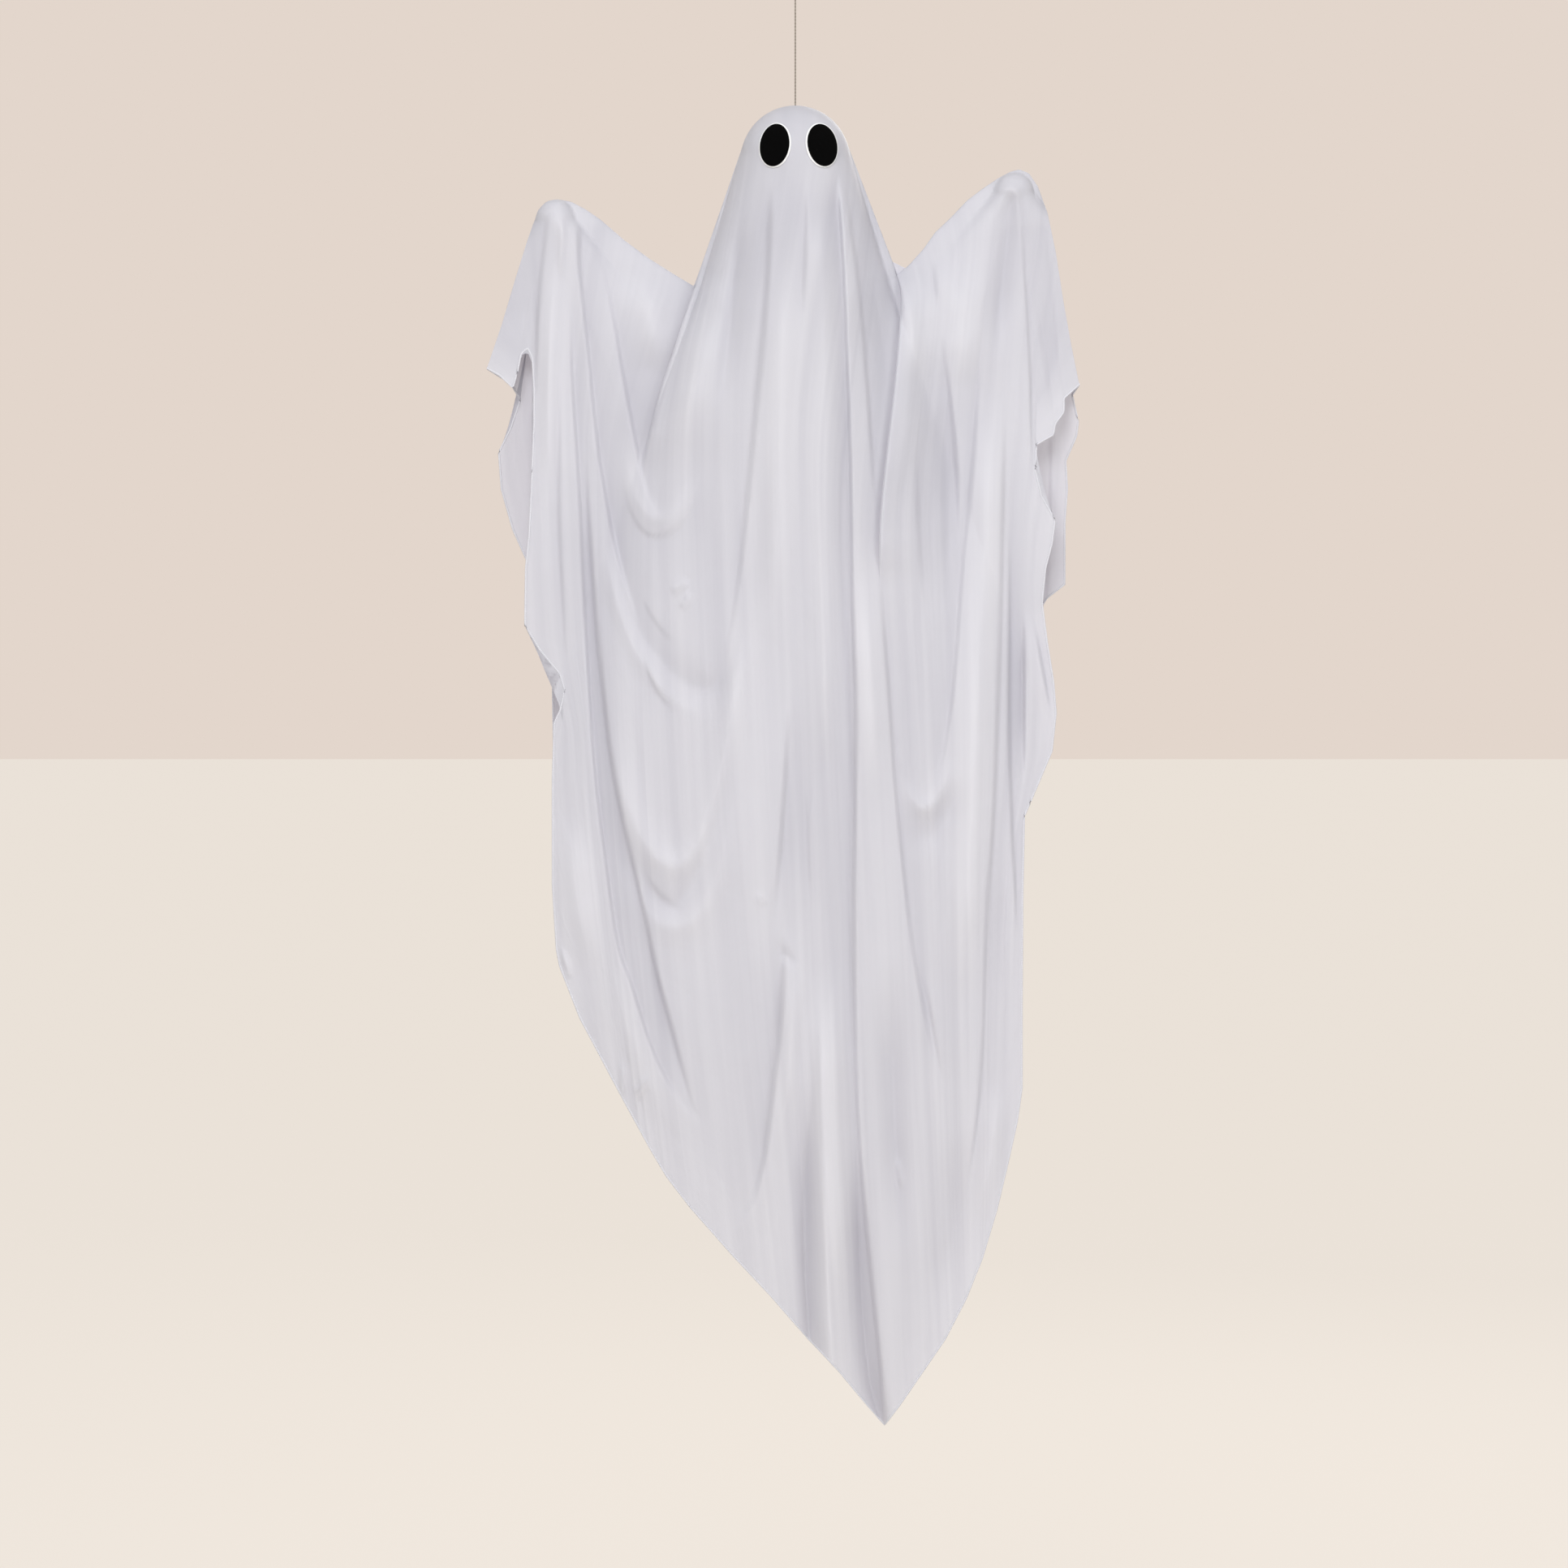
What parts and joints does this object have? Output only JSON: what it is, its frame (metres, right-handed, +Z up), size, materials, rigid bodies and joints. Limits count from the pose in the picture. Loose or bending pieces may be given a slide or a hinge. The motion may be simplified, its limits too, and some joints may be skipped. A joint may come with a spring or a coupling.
{
  "type": "hanging ghost figure",
  "caption": "White sheet draped over a lit globe head and two raised posable arms, with felt eyes, a hanging cord and a battery case inside.",
  "frame": {"origin": "inside top of the hanging loop, where a hook carries the figure", "axes": "+Z up along the hanging cord, -Y the way the face looks, +X to the viewer's right of the face"},
  "size_m": [0.5406, 0.1386, 1.3514],
  "materials": {
    "sheet": "thin satin polyester, white with a faint lavender cast, slightly see-through",
    "black_felt": "matt felt",
    "white_felt": "matt felt",
    "twine": "twisted polyester thread",
    "milky_shell": "milky diffusing plastic",
    "lamp_resin": "clear lamp resin",
    "lamp_board": "white solder mask",
    "steel": "zinc-plated steel",
    "white_plastic": "moulded, satin",
    "black_plastic": "moulded, satin",
    "foam": "fine closed-cell foam",
    "cell_jacket": "printed jacket without marks",
    "red_lead": "insulation",
    "black_lead": "insulation"
  },
  "bodies": {
    "figure": {"sheet_body": "sheet", "eye_left": "black_felt", "eye_right": "black_felt", "eye_left_border": "white_felt", "eye_right_border": "white_felt", "hanging_cord": "twine", "cord_loop": "twine", "cord_knot": "twine", "head_upper_shell": "milky_shell", "head_lower_shell": "milky_shell", "led_1": "lamp_resin", "led_2": "lamp_resin", "led_3": "lamp_resin", "led_4": "lamp_resin", "led_5": "lamp_resin", "led_6": "lamp_resin", "led_board": "lamp_board", "cord_crimp": "steel", "cord_washer": "steel", "board_screw_1": "steel", "board_screw_2": "steel", "board_screw_3": "steel", "neck_pin": "steel", "hub_screw_1": "steel", "hub_screw_2": "steel", "arm_left_pivot_screw": "steel", "arm_right_pivot_screw": "steel", "arm_left_pivot_nut": "steel", "arm_right_pivot_nut": "steel", "case_screw_1": "steel", "case_screw_2": "steel", "contact_plate_1": "steel", "contact_plate_2": "steel", "contact_plate_3": "steel", "contact_spring_1": "steel", "contact_spring_2": "steel", "contact_spring_3": "steel", "neck_tube": "white_plastic", "hub_front": "white_plastic", "hub_back": "white_plastic", "battery_case": "white_plastic", "arm_left_friction_ring": "black_plastic", "arm_right_friction_ring": "black_plastic", "switch_body": "black_plastic", "cell_1": "cell_jacket", "cell_2": "cell_jacket", "cell_3": "cell_jacket", "lead_red": "red_lead", "lead_black": "black_lead"},
    "arm_left": {"arm_left_socket": "white_plastic", "arm_left_rod": "steel", "hand_left": "foam", "sleeve_left": "sheet"},
    "arm_right": {"arm_right_socket": "white_plastic", "arm_right_rod": "steel", "hand_right": "foam", "sleeve_right": "sheet"},
    "door": {"battery_door": "white_plastic"},
    "switch": {"switch_slider": "black_plastic"}
  },
  "joints": [
    {"name": "arm_left_lift", "type": "hinge", "parent": "figure", "child": "arm_left", "pos_m": [-0.014, 0, -0.402], "axis": [0, 1, 0], "range_deg": [-12, 14], "deforming": ["sleeve_left"]},
    {"name": "arm_right_lift", "type": "hinge", "parent": "figure", "child": "arm_right", "pos_m": [0.014, 0, -0.402], "axis": [0, -1, 0], "range_deg": [-19, 7], "deforming": ["sleeve_right"]},
    {"name": "door_slide", "type": "slide", "parent": "figure", "child": "door", "axis": [0, 0, -1], "range_m": [0, 0.075]},
    {"name": "switch_slide", "type": "slide", "parent": "figure", "child": "switch", "axis": [1, 0, 0], "range_m": [0, 0.003]}
  ]
}
